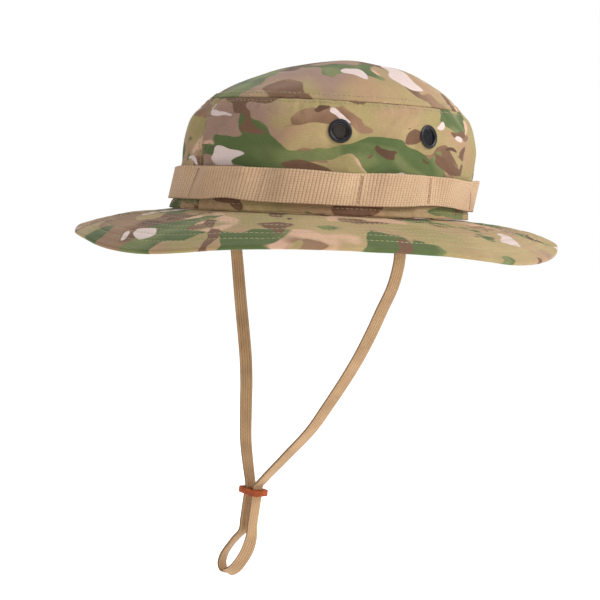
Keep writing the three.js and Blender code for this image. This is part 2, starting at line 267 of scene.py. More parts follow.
class Nodes:
    """Short hand for building one material's nodes."""

    def __init__(self, name):
        self.mat = bpy.data.materials.new(name)
        self.mat.use_nodes = True
        self.tree = self.mat.node_tree
        self.bsdf = self.tree.nodes["Principled BSDF"]

    def add(self, kind, inputs=None, **props):
        n = self.tree.nodes.new(kind)
        for key, value in props.items():
            setattr(n, key, value)
        for key, value in (inputs or {}).items():
            if isinstance(value, bpy.types.NodeSocket):
                self.tree.links.new(value, n.inputs[key])
            else:
                n.inputs[key].default_value = value
        return n

    def math(self, op, a, b=0.0, c=0.0):
        n = self.add("ShaderNodeMath", operation=op)
        for i, v in enumerate((a, b, c)):
            if isinstance(v, bpy.types.NodeSocket):
                self.tree.links.new(v, n.inputs[i])
            else:
                n.inputs[i].default_value = v
        return n.outputs[0]

    def mix(self, factor, a, b, mode="MIX"):
        n = self.add("ShaderNodeMix", data_type="RGBA", blend_type=mode)
        for i, v in ((0, factor), (6, a), (7, b)):
            if isinstance(v, bpy.types.NodeSocket):
                self.tree.links.new(v, n.inputs[i])
            else:
                n.inputs[i].default_value = v
        return n.outputs[2]

    def ramp(self, value, lo, hi):
        """0 below lo, 1 above hi."""
        n = self.add("ShaderNodeMapRange", {0: value, 1: lo, 2: hi, 3: 0.0, 4: 1.0})
        n.interpolation_type = "SMOOTHSTEP"
        return n.outputs[0]

    def cloth(self, scale=(1, 1, 1), offset=(0, 0, 0)):
        uv = self.add("ShaderNodeUVMap", uv_map="cloth").outputs[0]
        return self.add("ShaderNodeMapping", {"Vector": uv, "Scale": scale, "Location": offset}).outputs[0]

    def noise(self, vector, scale, detail=2.0, rough=0.5, distortion=0.0):
        return self.add("ShaderNodeTexNoise", {"Vector": vector, "Scale": scale, "Detail": detail,
                                               "Roughness": rough, "Distortion": distortion}).outputs[0]

    def wave(self, vector, scale, direction="X", distortion=0.0, detail=0.0):
        return self.add("ShaderNodeTexWave", {"Vector": vector, "Scale": scale, "Distortion": distortion,
                                              "Detail": detail}, bands_direction=direction).outputs[1]

    def shaded(self, colour, shade):
        """The colour times a grey shade."""
        tint = self.add("ShaderNodeCombineColor", {0: shade, 1: shade, 2: shade}).outputs[0]
        return self.mix(1.0, colour, tint, "MULTIPLY")

    def grooves(self, axis, per_unit):
        """0 along evenly spaced lines across one axis of the cloth, 1 midway between them."""
        place = self.add("ShaderNodeSeparateXYZ", {0: self.cloth()}).outputs[axis]
        return self.math("ABSOLUTE", self.math("SINE", self.math("MULTIPLY", place, math.pi * per_unit)))

    def finish(self, colour=None, height=None, strength=0.3, distance=0.0003, **fixed):
        if colour is not None:
            self.tree.links.new(colour, self.bsdf.inputs["Base Color"])
        if height is not None:
            b = self.add("ShaderNodeBump", {"Height": height, "Strength": strength, "Distance": distance})
            self.tree.links.new(b.outputs[0], self.bsdf.inputs["Normal"])
        for key, value in fixed.items():
            self.bsdf.inputs[key.replace("_", " ")].default_value = value
        return self.mat


KHAKI, OLIVE, TAN, MAUVE = srgb(172, 148, 106), srgb(156, 140, 94), srgb(168, 136, 104), srgb(152, 122, 106)
GREEN, GREEN2 = srgb(84, 98, 56), srgb(116, 122, 76)
BROWN, BROWN2 = srgb(112, 82, 62), srgb(146, 114, 88)
PINK, PALE, DARK = srgb(204, 164, 138), srgb(214, 194, 188), srgb(92, 66, 50)


def camo(name, offset, across=(1, 1), faded=0.0):
    """Woven cloth printed with blotches; offset picks the stretch of cloth, across its grain."""
    n = Nodes(name)
    base = n.cloth((across[0], across[1], 1), offset)
    wobble = n.add("ShaderNodeTexNoise", {"Vector": base, "Scale": 3.2, "Detail": 1.5,
                                          "Roughness": 0.45}).outputs[1]
    at = n.mix(0.22, base, wobble, "ADD")

    def field(shift, scale, vector=at):
        place = n.add("ShaderNodeVectorMath", {0: vector, 1: (shift, shift * 0.7, shift * 0.3)},
                      operation="ADD").outputs[0]
        return n.noise(place, scale, 0.8, 0.5, 0.5)

    def blot(colour, paint, shift, scale, edge, soft_edge=0.010):
        return n.mix(n.ramp(field(shift, scale), edge, edge + soft_edge), colour, paint)

    colour = n.mix(n.ramp(field(3.0, 1.3, base), 0.36, 0.60), KHAKI, OLIVE)
    colour = n.mix(n.ramp(field(9.0, 1.5, base), 0.46, 0.66), colour, TAN)
    colour = n.mix(n.ramp(field(14.0, 1.1, base), 0.56, 0.72), colour, MAUVE)
    brown = n.mix(n.ramp(field(17.0, 1.7, base), 0.40, 0.62), BROWN2, BROWN)
    green = n.mix(n.ramp(field(17.0, 2.2, base), 0.38, 0.55), GREEN2, GREEN)
    colour = blot(colour, brown, 21.3, 1.75, 0.585)
    colour = blot(colour, PINK, 55.1, 1.9, 0.660, 0.05)
    colour = blot(colour, green, 37.9, 1.65, 0.580)
    colour = blot(colour, BROWN, 71.7, 2.3, 0.640)
    colour = blot(colour, PALE, 88.2, 2.3, 0.670)
    colour = blot(colour, DARK, 103.4, 3.6, 0.720)
    if faded:
        colour = n.mix(faded, colour, srgb(176, 160, 124))
    fine = n.cloth((1, 1, 1))
    weave = n.math("MULTIPLY", n.wave(fine, 36.0, "X"), n.wave(fine, 36.0, "Y"))
    slub = n.noise(n.cloth((1, 6, 1)), 34.0, 2.0)
    tone_variation = n.noise(fine, 4.0, 4.0, 0.6)
    shade = n.math("ADD", n.math("MULTIPLY", weave, 0.16), n.math("MULTIPLY", slub, 0.34))
    shade = n.math("ADD", n.math("ADD", shade, n.math("MULTIPLY", tone_variation, 0.24)), 0.64)
    colour = n.shaded(colour, shade)
    height = n.math("ADD", n.math("MULTIPLY", weave, 0.5), n.math("MULTIPLY", slub, 0.7))
    crumple = n.noise(fine, 7.0, 4.0, 0.55, 0.6)
    height = n.math("ADD", height, n.math("MULTIPLY", crumple, 7.0))
    return n.finish(colour, height, 0.4, 0.0004, Roughness=0.88, Sheen_Weight=0.12, Sheen_Roughness=0.45,
                    Specular_IOR_Level=0.25)


def plain_cloth(name, a, b, ribs=(30.0, 30.0)):
    n = Nodes(name)
    at = n.cloth()
    weave = n.math("MULTIPLY", n.wave(at, ribs[0], "X"), n.wave(at, ribs[1], "Y"))
    patch = n.noise(n.cloth((1, 1, 1), (4, 7, 0)), 5.0, 3.0)
    slub = n.noise(n.cloth((1, 5, 1)), 30.0, 2.0)
    colour = n.mix(n.ramp(patch, 0.3, 0.7), a, b)
    shade = n.math("ADD", n.math("MULTIPLY", weave, 0.14), n.math("MULTIPLY", slub, 0.2))
    shade = n.math("ADD", shade, 0.82)
    return n.finish(n.shaded(colour, shade), n.math("ADD", weave, slub), 0.4, 0.0004, Roughness=0.9,
                    Sheen_Weight=0.15, Specular_IOR_Level=0.2)


def webbing_material():
    """Ribbed webbing; the ribs are modelled, and this paints shade into the grooves between them and adds
    threads, wear and dirt.
    """
    n = Nodes("webbing")
    at = n.cloth()
    groove_shade = n.grooves(0, 100 / RIB)
    thread = n.wave(at, 22.0, "Y", 1.0)
    patch = n.ramp(n.noise(at, 3.5, 3.0), 0.35, 0.7)
    colour = n.mix(patch, srgb(208, 176, 142), srgb(194, 160, 128))
    # painted shade: the colour is darkened along the grooves between the modelled ribs
    colour = n.mix(n.ramp(groove_shade, 0.5, 0.0), colour, srgb(160, 122, 88))
    shade = n.math("ADD", n.math("MULTIPLY", thread, 0.08), n.math("MULTIPLY", n.noise(at, 40.0, 2.0), 0.22))
    shade = n.math("ADD", shade, 0.80)
    return n.finish(n.shaded(colour, shade), thread, 0.3, 0.0003, Roughness=0.82, Sheen_Weight=0.15,
                    Specular_IOR_Level=0.3)


def cord_material():
    """Flat braid: painted shade in the grooves between its ribs, fine slanting plaits and a little wear."""
    n = Nodes("braided_cord")
    at = n.cloth()
    groove_shade = n.grooves(1, 100 * BRAID_RIBS / (CORD_W - 0.4))
    plait = n.wave(at, 22.0, "DIAGONAL", 1.5, 1.0)
    patch = n.ramp(n.noise(at, 6.0, 3.0), 0.3, 0.75)
    colour = n.mix(patch, srgb(192, 156, 116), srgb(170, 136, 100))
    # painted shade: the colour is darkened along the grooves between the modelled braid ribs
    colour = n.mix(n.ramp(groove_shade, 0.5, 0.0), colour, srgb(112, 82, 56))
    shade = n.math("ADD", n.math("MULTIPLY", plait, 0.10), n.math("MULTIPLY", n.noise(at, 50.0, 2.0), 0.2))
    shade = n.math("ADD", shade, 0.80)
    return n.finish(n.shaded(colour, shade), plait, 0.25, 0.0002, Roughness=0.85, Sheen_Weight=0.2,
                    Specular_IOR_Level=0.3)


def leather_material():
    n = Nodes("keeper_leather")
    at = n.add("ShaderNodeTexCoord").outputs["Object"]
    grain = n.add("ShaderNodeTexVoronoi", {"Vector": at, "Scale": 1400.0}).outputs[0]
    patch = n.ramp(n.noise(at, 160.0, 4.0), 0.3, 0.7)
    colour = n.mix(patch, srgb(182, 88, 36), srgb(136, 56, 20))
    edge = n.ramp(n.add("ShaderNodeNewGeometry").outputs["Pointiness"], 0.52, 0.60)
    colour = n.mix(edge, colour, srgb(198, 116, 62))
    return n.finish(colour, n.math("ADD", grain, n.noise(at, 500.0, 3.0)), 0.35, 0.0003, Roughness=0.6,
                    Specular_IOR_Level=0.25)


def enamel_material(name, tone_variation):
    n = Nodes(name)
    at = n.add("ShaderNodeTexCoord").outputs["Object"]
    scuff = n.noise(at, 900.0, 4.0)
    # lighter grey on sharp edges and thin wires, picked out by the mesh's Pointiness and scuff noise; the
    # second argument sets how strongly
    edge = n.ramp(n.math("ADD", n.add("ShaderNodeNewGeometry").outputs["Pointiness"],
                         n.math("MULTIPLY", scuff, 0.06)), 0.57, 0.63)
    colour = n.mix(n.math("MULTIPLY", edge, tone_variation), srgb(20, 20, 27), srgb(92, 90, 94))
    rough = n.math("ADD", n.math("MULTIPLY", scuff, 0.22), 0.24)
    n.tree.links.new(rough, n.bsdf.inputs["Roughness"])
    return n.finish(colour, scuff, 0.12, 0.0002, Specular_IOR_Level=0.35)


def thread_material(name, a, b):
    n = Nodes(name)
    at = n.add("ShaderNodeTexCoord").outputs["Object"]
    twist = n.wave(at, 420.0, "DIAGONAL")
    colour = n.mix(n.ramp(n.noise(at, 60.0, 2.0), 0.3, 0.7), a, b)
    return n.finish(colour, twist, 0.4, 0.0002, Roughness=0.6, Sheen_Weight=0.2)


CAMO_WALL_L = camo("camo_wall_left", (0.30, 0.10, 0.0), (1.3, 2.3))
CAMO_WALL_R = camo("camo_wall_right", (5.40, 2.10, 0.0), (1.3, 2.3))
CAMO_TOP = camo("camo_top", (6.60, 1.20, 0.0), (1.6, 1.6))
CAMO_BRIM = camo("camo_brim", (8.60, 3.30, 0.0), (1.35, 1.35))
CAMO_UNDER = camo("camo_brim_under", (14.2, 9.10, 0.0), (1.35, 1.35))
CAMO_BACK = camo("camo_reverse", (5.1, 2.2, 0.0), (0.95, 2.0), faded=0.55)
LINING = plain_cloth("sweatband_cloth", srgb(128, 118, 82), srgb(112, 104, 72))
TAPE = plain_cloth("binding_tape", srgb(150, 132, 92), srgb(134, 118, 80), (60.0, 16.0))
INTERLINING = plain_cloth("interlining_cloth", srgb(196, 188, 164), srgb(180, 172, 148))
LABEL = plain_cloth("label_cloth", srgb(226, 220, 206), srgb(214, 208, 192), (60.0, 60.0))
WEB = webbing_material()
BRAID = cord_material()
LEATHER = leather_material()
ENAMEL = enamel_material("black_enamel", 0.7)
SCREEN = enamel_material("vent_screen", 0.25)
THREAD = thread_material("brim_thread", srgb(186, 180, 132), srgb(166, 160, 112))
BAR_THREAD = thread_material("bar_thread", srgb(158, 116, 84), srgb(140, 100, 72))


# ---------------------------------------------------------------- stitches
def capsule(sides=6):
    """Unit stitch lying along x from -1 to 1, half a unit round, its ends dipping down into the cloth."""
    xs, rs, zs = [-1, -0.8, -0.35, 0.35, 0.8, 1], [0.25, 0.8, 1, 1, 0.8, 0.25], [-1.3, -0.4, 0, 0, -0.4, -1.3]
    v, f = [], []
    for x, r, z in zip(xs, rs, zs):
        for k in range(sides):
            a = 2 * math.pi * k / sides
            v.append((x, r * math.cos(a), r * math.sin(a) + z))
    for i in range(len(xs) - 1):
        for k in range(sides):
            e = (k + 1) % sides
            f.append((i * sides + k, i * sides + e, (i + 1) * sides + e, (i + 1) * sides + k))
    f.append(tuple(range(sides))[::-1])
    f.append(tuple(range((len(xs) - 1) * sides, len(xs) * sides)))
    return np.array(v), f


STITCH = capsule()


def stitches(name, runs, length, radius, body, material, replaces=()):
    """One piece of many stitches; each run is (centres, directions, outward normals)."""
    v0, f0 = STITCH
    verts, faces = [], []
    for centres, ways, outs in runs:
        ways = ways / np.linalg.norm(ways, axis=-1, keepdims=True)
        outs = outs - (outs * ways).sum(-1, keepdims=True) * ways
        outs = outs / np.linalg.norm(outs, axis=-1, keepdims=True)
        sides = np.cross(outs, ways)
        for c, w, s, o in zip(centres, ways, sides, outs):
            base = len(verts) * len(v0)
            verts.append(c + v0[:, :1] * w * (length / 2) + (v0[:, 1:2] * s + v0[:, 2:] * o) * radius)
            faces.extend([[i + base for i in f] for f in f0])
    obj = to_mesh(name, np.concatenate(verts), faces)
    return fit_out(obj, body, replaces, material)


def run_along(points, outs, pitch, closed=False, phase=0.0):
    """Stitch centres, directions and normals spaced evenly along a polyline."""
    if closed:
        points, outs = np.concatenate([points, points[:1]]), np.concatenate([outs, outs[:1]])
    seg = np.linalg.norm(np.diff(points, axis=0), axis=1)
    s = np.concatenate([[0], np.cumsum(seg)])
    count = max(1, int(round(s[-1] / pitch)))
    where = (np.arange(count) + 0.5 + phase) * s[-1] / count
    where = where % s[-1]

    def pick(a, at):
        return np.stack([np.interp(at, s, a[:, i]) for i in range(3)], -1)

    ahead = (where + 0.4) % s[-1] if closed else np.minimum(where + 0.4, s[-1])
    way = pick(points, ahead) - pick(points, np.maximum(where - 0.4, 0))
    return pick(points, where), way, pick(outs, where)


# ---------------------------------------------------------------- chin cord and keeper
def cord_points():
    way = (-math.sin(math.radians(STRAND_TILT)), -math.cos(math.radians(STRAND_TILT)))

    def strand(side, down):
        across = side * STRAND_HALF
        return (KEEPER[0] - across * way[1] + down * way[0], KEEPER[2] + across * way[0] + down * way[1])

    pts = [(78, 7), (78, -2), (78.3, -14), (78, -26.2), (73.8, -41), (65.5, -56), (57, -71.3), (47.2, -86.9),
           (35.5, -102.8), (22.2, -119.2), (7.8, -136), (-12.5, -154), (-22.8, -163), (-31, -170),
           (-36.3, -174.8), strand(1, -4.5), strand(1, -2), strand(1, 4), strand(1, 12), strand(1, 22),
           (-44.4, -213), (-47.6, -221.6), (-53.6, -230), (-59.5, -235.8), (-65.5, -238.6), (-70.2, -237.8),
           (-72.2, -233.8), (-70.8, -228.5), (-67.6, -223.8), (-59.2, -215), strand(-1, 27), strand(-1, 20),
           strand(-1, 8), strand(-1, 2), strand(-1, -3.5), (-48.6, -172), (-50.2, -166), (-53.6, -150),
           (-55, -127.5), (-55.6, -111.8), (-57.3, -96.2), (-60.2, -80.7), (-63.5, -65.1), (-66.6, -49.6),
           (-69.6, -33.9), (-71.8, -23), (-74.4, -11), (-76, 0), (-76.8, 7)]
    return np.array([(x, CORD_Y, z) for x, z in pts], float)


def smooth_path(points, per=40):
    """Centripetal Catmull-Rom line through the points, the way the CAD's cord runs."""
    p = np.concatenate([[2 * points[0] - points[1]], points, [2 * points[-1] - points[-2]]])
    out = []
    for i in range(1, len(p) - 2):
        a, b, c, d = p[i - 1:i + 3]
        d0, d1, d2 = (max(np.linalg.norm(v) ** 0.5, 1e-4) for v in (b - a, c - b, d - c))
        t1 = ((b - a) / d0 - (c - a) / (d0 + d1) + (c - b) / d1) * d1
        t2 = ((c - b) / d1 - (d - b) / (d1 + d2) + (d - c) / d2) * d1
        t = np.linspace(0, 1, per, endpoint=False)[:, None]
        out.append((2 * t ** 3 - 3 * t ** 2 + 1) * b + (t ** 3 - 2 * t ** 2 + t) * t1
                   + (3 * t ** 2 - 2 * t ** 3) * c + (t ** 3 - t ** 2) * t2)
    out.append(p[-2:-1])
    return np.concatenate(out)


def resample(path, pitch):
    s = np.concatenate([[0], np.cumsum(np.linalg.norm(np.diff(path, axis=0), axis=1))])
    where = np.linspace(0, s[-1], int(s[-1] / pitch) + 1)
    return np.stack([np.interp(where, s, path[:, i]) for i in range(3)], -1), where


def twist(path, s):
    """Slow turn of the flat cord about its line, in degrees: none at its ends and where the keeper slides."""
    z, clear, slide = path[:, 2], 9, 24
    first = s < s[int(np.argmin(z))]
    fall = np.clip(z / (KEEPER[2] + clear), 0, 1)
    above = np.where(first, 16, -24) * np.sin(np.pi * fall) ** 0.8 * (z > KEEPER[2] + clear)
    low = step(KEEPER[2] - slide - z, 0, 16) * np.where(first, 34, 12)
    return above + low


def chin_cord():
    path, s = resample(smooth_path(cord_points()), 0.55)
    way = np.gradient(path, axis=0)
    way /= np.linalg.norm(way, axis=1, keepdims=True)
    flat = np.array([0.0, 1.0, 0.0])
    face = np.cross(way, flat)
    turn = rad(twist(path, s))[:, None]
    wide, thick = flat * np.cos(turn) + face * np.sin(turn), face * np.cos(turn) - flat * np.sin(turn)
    half = 28
    w = np.sin(np.linspace(-np.pi / 2, np.pi / 2, half + 1)) * 0.99
    around = [(x, 1) for x in w[::-1]] + [(x, -1) for x in w[1:-1]]
    rings = []
    for x, side in around:
        lane = (x + 1) / 2 * BRAID_RIBS
        rib = np.abs(np.sin(np.pi * lane))
        body = (CORD_T / 2 - 0.26) * max(0.0, 1 - abs(x) ** 8) ** 0.5 + 0.27 * rib ** 0.6
        slant = 1 if int(np.clip(lane, 0, BRAID_RIBS - 1)) % 2 else -1
        plait = 0.05 * np.sin(2 * np.pi * (s / 1.7 + slant * side * lane * 0.7)) * rib ** 0.5
        rings.append(path + wide * x * CORD_W / 2 + thick * (side * (body + plait))[:, None])
    p = np.stack(rings, 1)
    m, k = p.shape[:2]
    idx = np.arange(m * k).reshape(m, k)
    nxt = np.roll(idx, -1, axis=1)
    quads = np.stack([idx[:-1], nxt[:-1], nxt[1:], idx[1:]], -1).reshape(-1, 4).tolist()
    quads += [list(idx[0][::-1]), list(idx[-1])]
    lanes = np.array([(x + 1) / 2 for x, _ in around]) * CORD_W
    uv = np.stack([np.repeat(s[:, None], k, 1), np.repeat(lanes[None], m, 0)], -1) / 100
    obj = to_mesh("chin_cord_braid", p.reshape(-1, 3), quads, uv.reshape(-1, 2))
    fit_out(obj, "chin_cord", ["chin_cord"], BRAID)
    return obj, path[::6], s[-1]


def rounded_box_outline(hx, hy, r, n=6):
    pts = []
    for k, (sx, sy) in enumerate([(1, 1), (-1, 1), (-1, -1), (1, -1)]):
        for a in np.linspace(0, 90, n):
            q = math.radians(a + 90 * k)
            pts.append((sx * (hx - r) + r * math.cos(q), sy * (hy - r) + r * math.sin(q)))
    return pts


def keeper():
    """Leather keeper: two walls of one thick strip with a slot for each strand, edges rounded."""
    (hx, hy, hz), bevel = KEEPER_HALF, 0.45
    curve = bpy.data.curves.new("keeper_outline", "CURVE")
    curve.dimensions, curve.fill_mode = "2D", "BOTH"
    curve.extrude, curve.bevel_depth, curve.bevel_resolution = (hz - bevel) * MM, bevel * MM, 3
    outlines = [rounded_box_outline(hx - bevel, hy - bevel, 1.5, 8)]
    for side in (-1, 1):
        hole = rounded_box_outline(SLOT_HALF[0] + bevel, SLOT_HALF[1] + bevel, 0.95, 4)
        reach = STRAND_HALF / math.cos(math.radians(STRAND_TILT - KEEPER_TILT))
        outlines.append([(side * reach + x, y) for x, y in hole][::-1])
    for line in outlines:
        sp = curve.splines.new("POLY")
        sp.points.add(len(line) - 1)
        for q, (x, y) in zip(sp.points, line):
            q.co = (x * MM, y * MM, 0, 1)
        sp.use_cyclic_u = True
    tmp = bpy.data.objects.new("keeper_outline", curve)
    bpy.context.collection.objects.link(tmp)
    bpy.context.view_layer.update()
    mesh = bpy.data.meshes.new_from_object(tmp.evaluated_get(bpy.context.evaluated_depsgraph_get()))
    bpy.data.objects.remove(tmp)
    tilt = Matrix.Rotation(math.radians(KEEPER_TILT), 4, "Y")
    mesh.transform(Matrix.Translation(Vector(KEEPER) * MM) @ tilt)
    obj = bpy.data.objects.new("leather_keeper", mesh)
    bpy.context.collection.objects.link(obj)
    weld(obj, 2e-6)
    obj.data.polygons.foreach_set("use_smooth", [True] * len(obj.data.polygons))
    return fit_out(obj, "keeper", ["cord_keeper"], LEATHER)


cord_obj, cord_line, cord_length = chin_cord()
keeper_obj = keeper()


# ---------------------------------------------------------------- crown
def crown_dent(t, z, arc):
    """How far the soft wall stands out from its even shape: slack, front crease, folds and seam puckers."""
    even = step(z, 0, 8) * (1 - step(z, 62, SEAM_Z))
    slack = SLACK_WIDE * noise(arc / 46, z / 38, 3) + SLACK_FINE * noise(arc / 19, z / 15, 7)
    line = CREASE_FOOT + (z - CREASE_LOW) * (CREASE_HEAD - CREASE_FOOT) / CREASE_TALL
    off = (t - line) * 1.55
    inside = step(z, 26, 34) * (1 - step(z, 58, 66))
    crease = 1.7 * np.exp(-np.abs(off) / 1.5) - 1.8 * bump_out(off - 8, 6) + 0.6 * bump_out(off + 9, 6)
    gather = GATHER * np.sin(arc / 1.25 + 3 * noise(arc / 9, z / 20, 11)) * (1 - step(z, 2, 9)) \
        * (0.35 + 0.65 * step(t, 40, 70) * (1 - step(t, 120, 150)))
    pucker = PUCKER * noise(arc / 3.2, z / 7, 13) * (step(z, 55, 66) + 0.8 * (1 - step(z, 3, 10)))
    full = FULLNESS * bump_out(t - 128, 34) * step(z, 6, 26) * (1 - step(z, 52, 66))
    slant = noise((arc + 0.9 * z) / 17, (z - 0.5 * arc) / 55, 27)
    folds = FOLD_HIGH * slant * np.abs(slant) * step(z, 8, 24) * (1 - step(z, 56, 66))
    return slack * even + crease * inside + gather + pucker + full + folds


def crown_wall(name, start, vents, material):
    t = np.linspace(start + 0.12, start + 179.88, 300)[:, None]
    z = np.concatenate([np.linspace(0.4, 60, 62), np.linspace(61, 67.6, 9)])[None]
    tt, zz = np.broadcast_arrays(t, z)
    base = crown_at(tt, zz)
    n = normals(base, False)
    if (n[150, 30, :2] * base[150, 30, :2]).sum() < 0:
        n = -n
    seg = np.linalg.norm(np.diff(crown_at(t, np.array([[30.0]])), axis=0), axis=-1)[:, 0]
    arc = np.concatenate([[0], np.cumsum(seg)])[:, None] + np.zeros_like(zz)
    dent = crown_dent(np.where(tt > 200, tt - 360, tt), zz, arc)
    edge = np.minimum(tt - start, start + 180 - tt) * MM_PER_DEGREE
    dent = dent * step(edge, 0, 5) - 0.5 * bump_out(edge, 1.6)
    for v in vents:
        c = crown_at(np.array(v), np.array(VENT_Z))
        dent = dent * step(np.linalg.norm(base - c, axis=-1), 7, 13)
    p = base + n * dent[..., None]

    def keep(mid):
        ok = np.ones(len(mid), bool)
        for v in vents:
            c = crown_at(np.array(v), np.array(VENT_Z))
            ok &= np.linalg.norm(mid - c, axis=1) > 5.5
        return ok

    obj = grid_mesh(name, p, np.stack([arc / 100, zz / 100], -1), keep=keep, flip=winds_in(p))
    obj.data.materials.append(material)
    obj.data.materials.append(CAMO_BACK)
    thicken(obj, CLOTH, -1.0, 1)
    fit_out(obj, "hat")
    return obj, p, n


wall_left, wall_l_points, wall_l_out = crown_wall("crown_wall_left", -90,
                                                  [VENTS["front_left"], VENTS["rear_left"]], CAMO_WALL_L)
wall_right, wall_r_points, wall_r_out = crown_wall("crown_wall_right", 90,
                                                   [VENTS["front_right"], VENTS["rear_right"]], CAMO_WALL_R)
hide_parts("crown_side_left")
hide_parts("crown_side_right")


def dome_at(t, s):
    """Point of the crown's top, s being 1 at its seam and 0 at its middle."""
    xy = ellipse(turned(t, SEAM_Z), SEAM_GROW) * s[..., None]
    base = float(soft(LEAN, SEAM_Z))
    rise = DOME_RISE * np.maximum(0, 1 - s * s) ** DOME_POWER
    return join(xy + lean(base + (LEAN_POLE - base) * (1 - s * s)), SEAM_Z + rise)


def crown_top():
    t = np.linspace(0, 360, 300, endpoint=False)[:, None]
    s = np.concatenate([np.linspace(1, 0.9, 14), np.linspace(0.885, 0.0, 56)])[None]
    tt, ss = np.broadcast_arrays(t, s)
    base = dome_at(tt, ss)
    n = facing_up(base)
    x, y = base[..., 0], base[..., 1]
    dent = DOME_SLACK_WIDE * noise(x / 52 + 9, y / 46 + 3, 17) + DOME_SLACK_FINE * noise(x / 24, y / 21, 19)
    dent *= step(1 - ss, 0.02, 0.2)
    dent += DOME_PUCKER * noise(tt / 2.4, ss * 9, 23, 150) * (1 - step(1 - ss, 0.03, 0.12))
    dent -= 0.3 * bump_out((1 - ss) * 80 - 5.0, 1.4)
    p = base + n * dent[..., None]
    p[:, -1] = p[:, -1].mean(0)
    up = np.cross(p[1, 30] - p[0, 30], p[0, 31] - p[0, 30])[2]
    obj = grid_mesh("crown_top_panel", p, np.stack([x, y], -1) / 100, closed=True, flip=up < 0)
    obj.data.materials.append(CAMO_TOP)
    obj.data.materials.append(CAMO_BACK)
    thicken(obj, CLOTH, -1.0, 1)
    fit_out(obj, "hat", ["crown_top"])
    return obj, p, n, s[0]


top_obj, top_points, top_out, top_s = crown_top()


# ---------------------------------------------------------------- brim
def brim_ripple(t, w):
    return RIPPLE * noise(t / 360 * 40, w / 16, 37, 40) * step(w, 8, 20)


def brim_face(t, w):
    """Upper face of the brim, w millimetres out from its inner edge (3 mm inside the crown's foot)."""
    u = w / (BRIM_W + 3)
    fall = drop(t) * (0.62 * u + 0.38 * u ** 3)
    near = step(np.cos(rad(t - NEAR_SIDE)), -0.1, 0.35)
    fall = fall + (HEM_CURL * step(w, BRIM_W - 12, BRIM_W + 3) + 0.4 * u) * near
    return join(ellipse(t, -1 + w), -fall)


def brim_ply(name, under, material):
    """Upper ply, rolled round the brim's edge, or the lower ply inside that roll."""
    t = np.linspace(0, 360, 720, endpoint=False)[:, None]
    last = BRIM_W + 3 - (2.6 if under else EDGE_R)
    w = np.linspace(0, last, 74)[None]
    tt, ww = np.broadcast_arrays(t, w)
    base = brim_face(tt, ww)
    n = facing_up(base)
    rows = (ww - 3 - ROW_FIRST) / ROW_GAP
    near = np.abs(rows - np.round(rows)) * ROW_GAP
    sewn = (rows > -0.5) & (rows < ROWS - 0.5)
    quilt = -QUILT * bump_out(near, 1.0)
    pucker = 0.16 * noise(tt / 360 * 96, ww / 5.5, 31 + under, 96) * step(ww, 4, 8)
    side, depth = (-1, 2 * EDGE_R) if under else (1, 0)
    p = base + n * (side * sewn * (quilt + pucker) + brim_ripple(tt, ww) - depth)[..., None]
    if not under:
        edge, out = p[:, -1], np.cross(np.roll(p[:, -1], -1, 0) - np.roll(p[:, -1], 1, 0), n[:, -1])
        out /= np.linalg.norm(out, axis=-1, keepdims=True)
        out *= np.sign((out[:, :2] * edge[:, :2]).sum(-1))[:, None]
        centre = edge - n[:, -1] * EDGE_R
        roll = [centre + n[:, -1] * EDGE_R * math.cos(a) + out * EDGE_R * math.sin(a)
                for a in np.linspace(0, math.pi, 9)[1:]]
        under_edge = [roll[-1] - out * d for d in (0.8, 1.6)]
        p = np.concatenate([p, np.stack(roll + under_edge, 1)], 1)
    uv = p[..., :2] / 100
    uv[..., 1] += np.maximum(0, np.arange(p.shape[1]) - 73)[None] * 0.006
    up = np.cross(p[1, 30] - p[0, 30], p[0, 31] - p[0, 30])[2]
    obj = grid_mesh(name, p, uv, closed=True, flip=(up < 0) != under)
    obj.data.materials.append(material)
    thicken(obj, BRIM_PLY)
    fit_out(obj, "hat")
    return obj, p, n, w[0]


brim_top, brim_p, brim_n, brim_w = brim_ply("brim_upper_ply", 0, CAMO_BRIM)
brim_low, under_p, under_n, under_w = brim_ply("brim_lower_ply", 1, CAMO_UNDER)
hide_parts("brim_top")
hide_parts("brim_bottom")


def interlining():
    t = np.linspace(0, 360, 240, endpoint=False)[:, None]
    w = np.linspace(0.5, BRIM_W - 1, 30)[None]
    tt, ww = np.broadcast_arrays(t, w)
    base = brim_face(tt, ww)
    p = base + facing_up(base) * (brim_ripple(tt, ww) - 1.12)[..., None]
    obj = grid_mesh("brim_interlining_ply", p, p[..., :2] / 100, closed=True)
    obj.data.materials.append(INTERLINING)
    thicken(obj, INTERLINING_PLY, 0.0)
    return fit_out(obj, "hat", ["brim_interlining"])


lining_obj = interlining()


def brim_rows(name, p, n, w, side):
    runs = []
    for r in range(ROWS):
        at = 3 + ROW_FIRST + r * ROW_GAP
        if at > w[-1]:
            continue
        line = np.stack([[np.interp(at, w, p[i, :len(w), c]) for c in range(3)] for i in range(p.shape[0])])
        outs = n[:, int(np.argmin(np.abs(w - at)))] * side
        runs.append(run_along(line + outs * 0.06, outs, 3.1, True, 0.37 * r))
    return stitches(name, runs, 2.6, 0.2, "hat", THREAD)


brim_rows("brim_stitching_upper", brim_p, brim_n, brim_w, 1)
brim_rows("brim_stitching_under", under_p, under_n, under_w, -1)


# ---------------------------------------------------------------- crown stitching
def wall_line(points, outs, column=None, row=None, lift=0.1):
    q = points[column] if column is not None else points[:, row]
    o = outs[column] if column is not None else outs[:, row]
    return q + o * lift, o


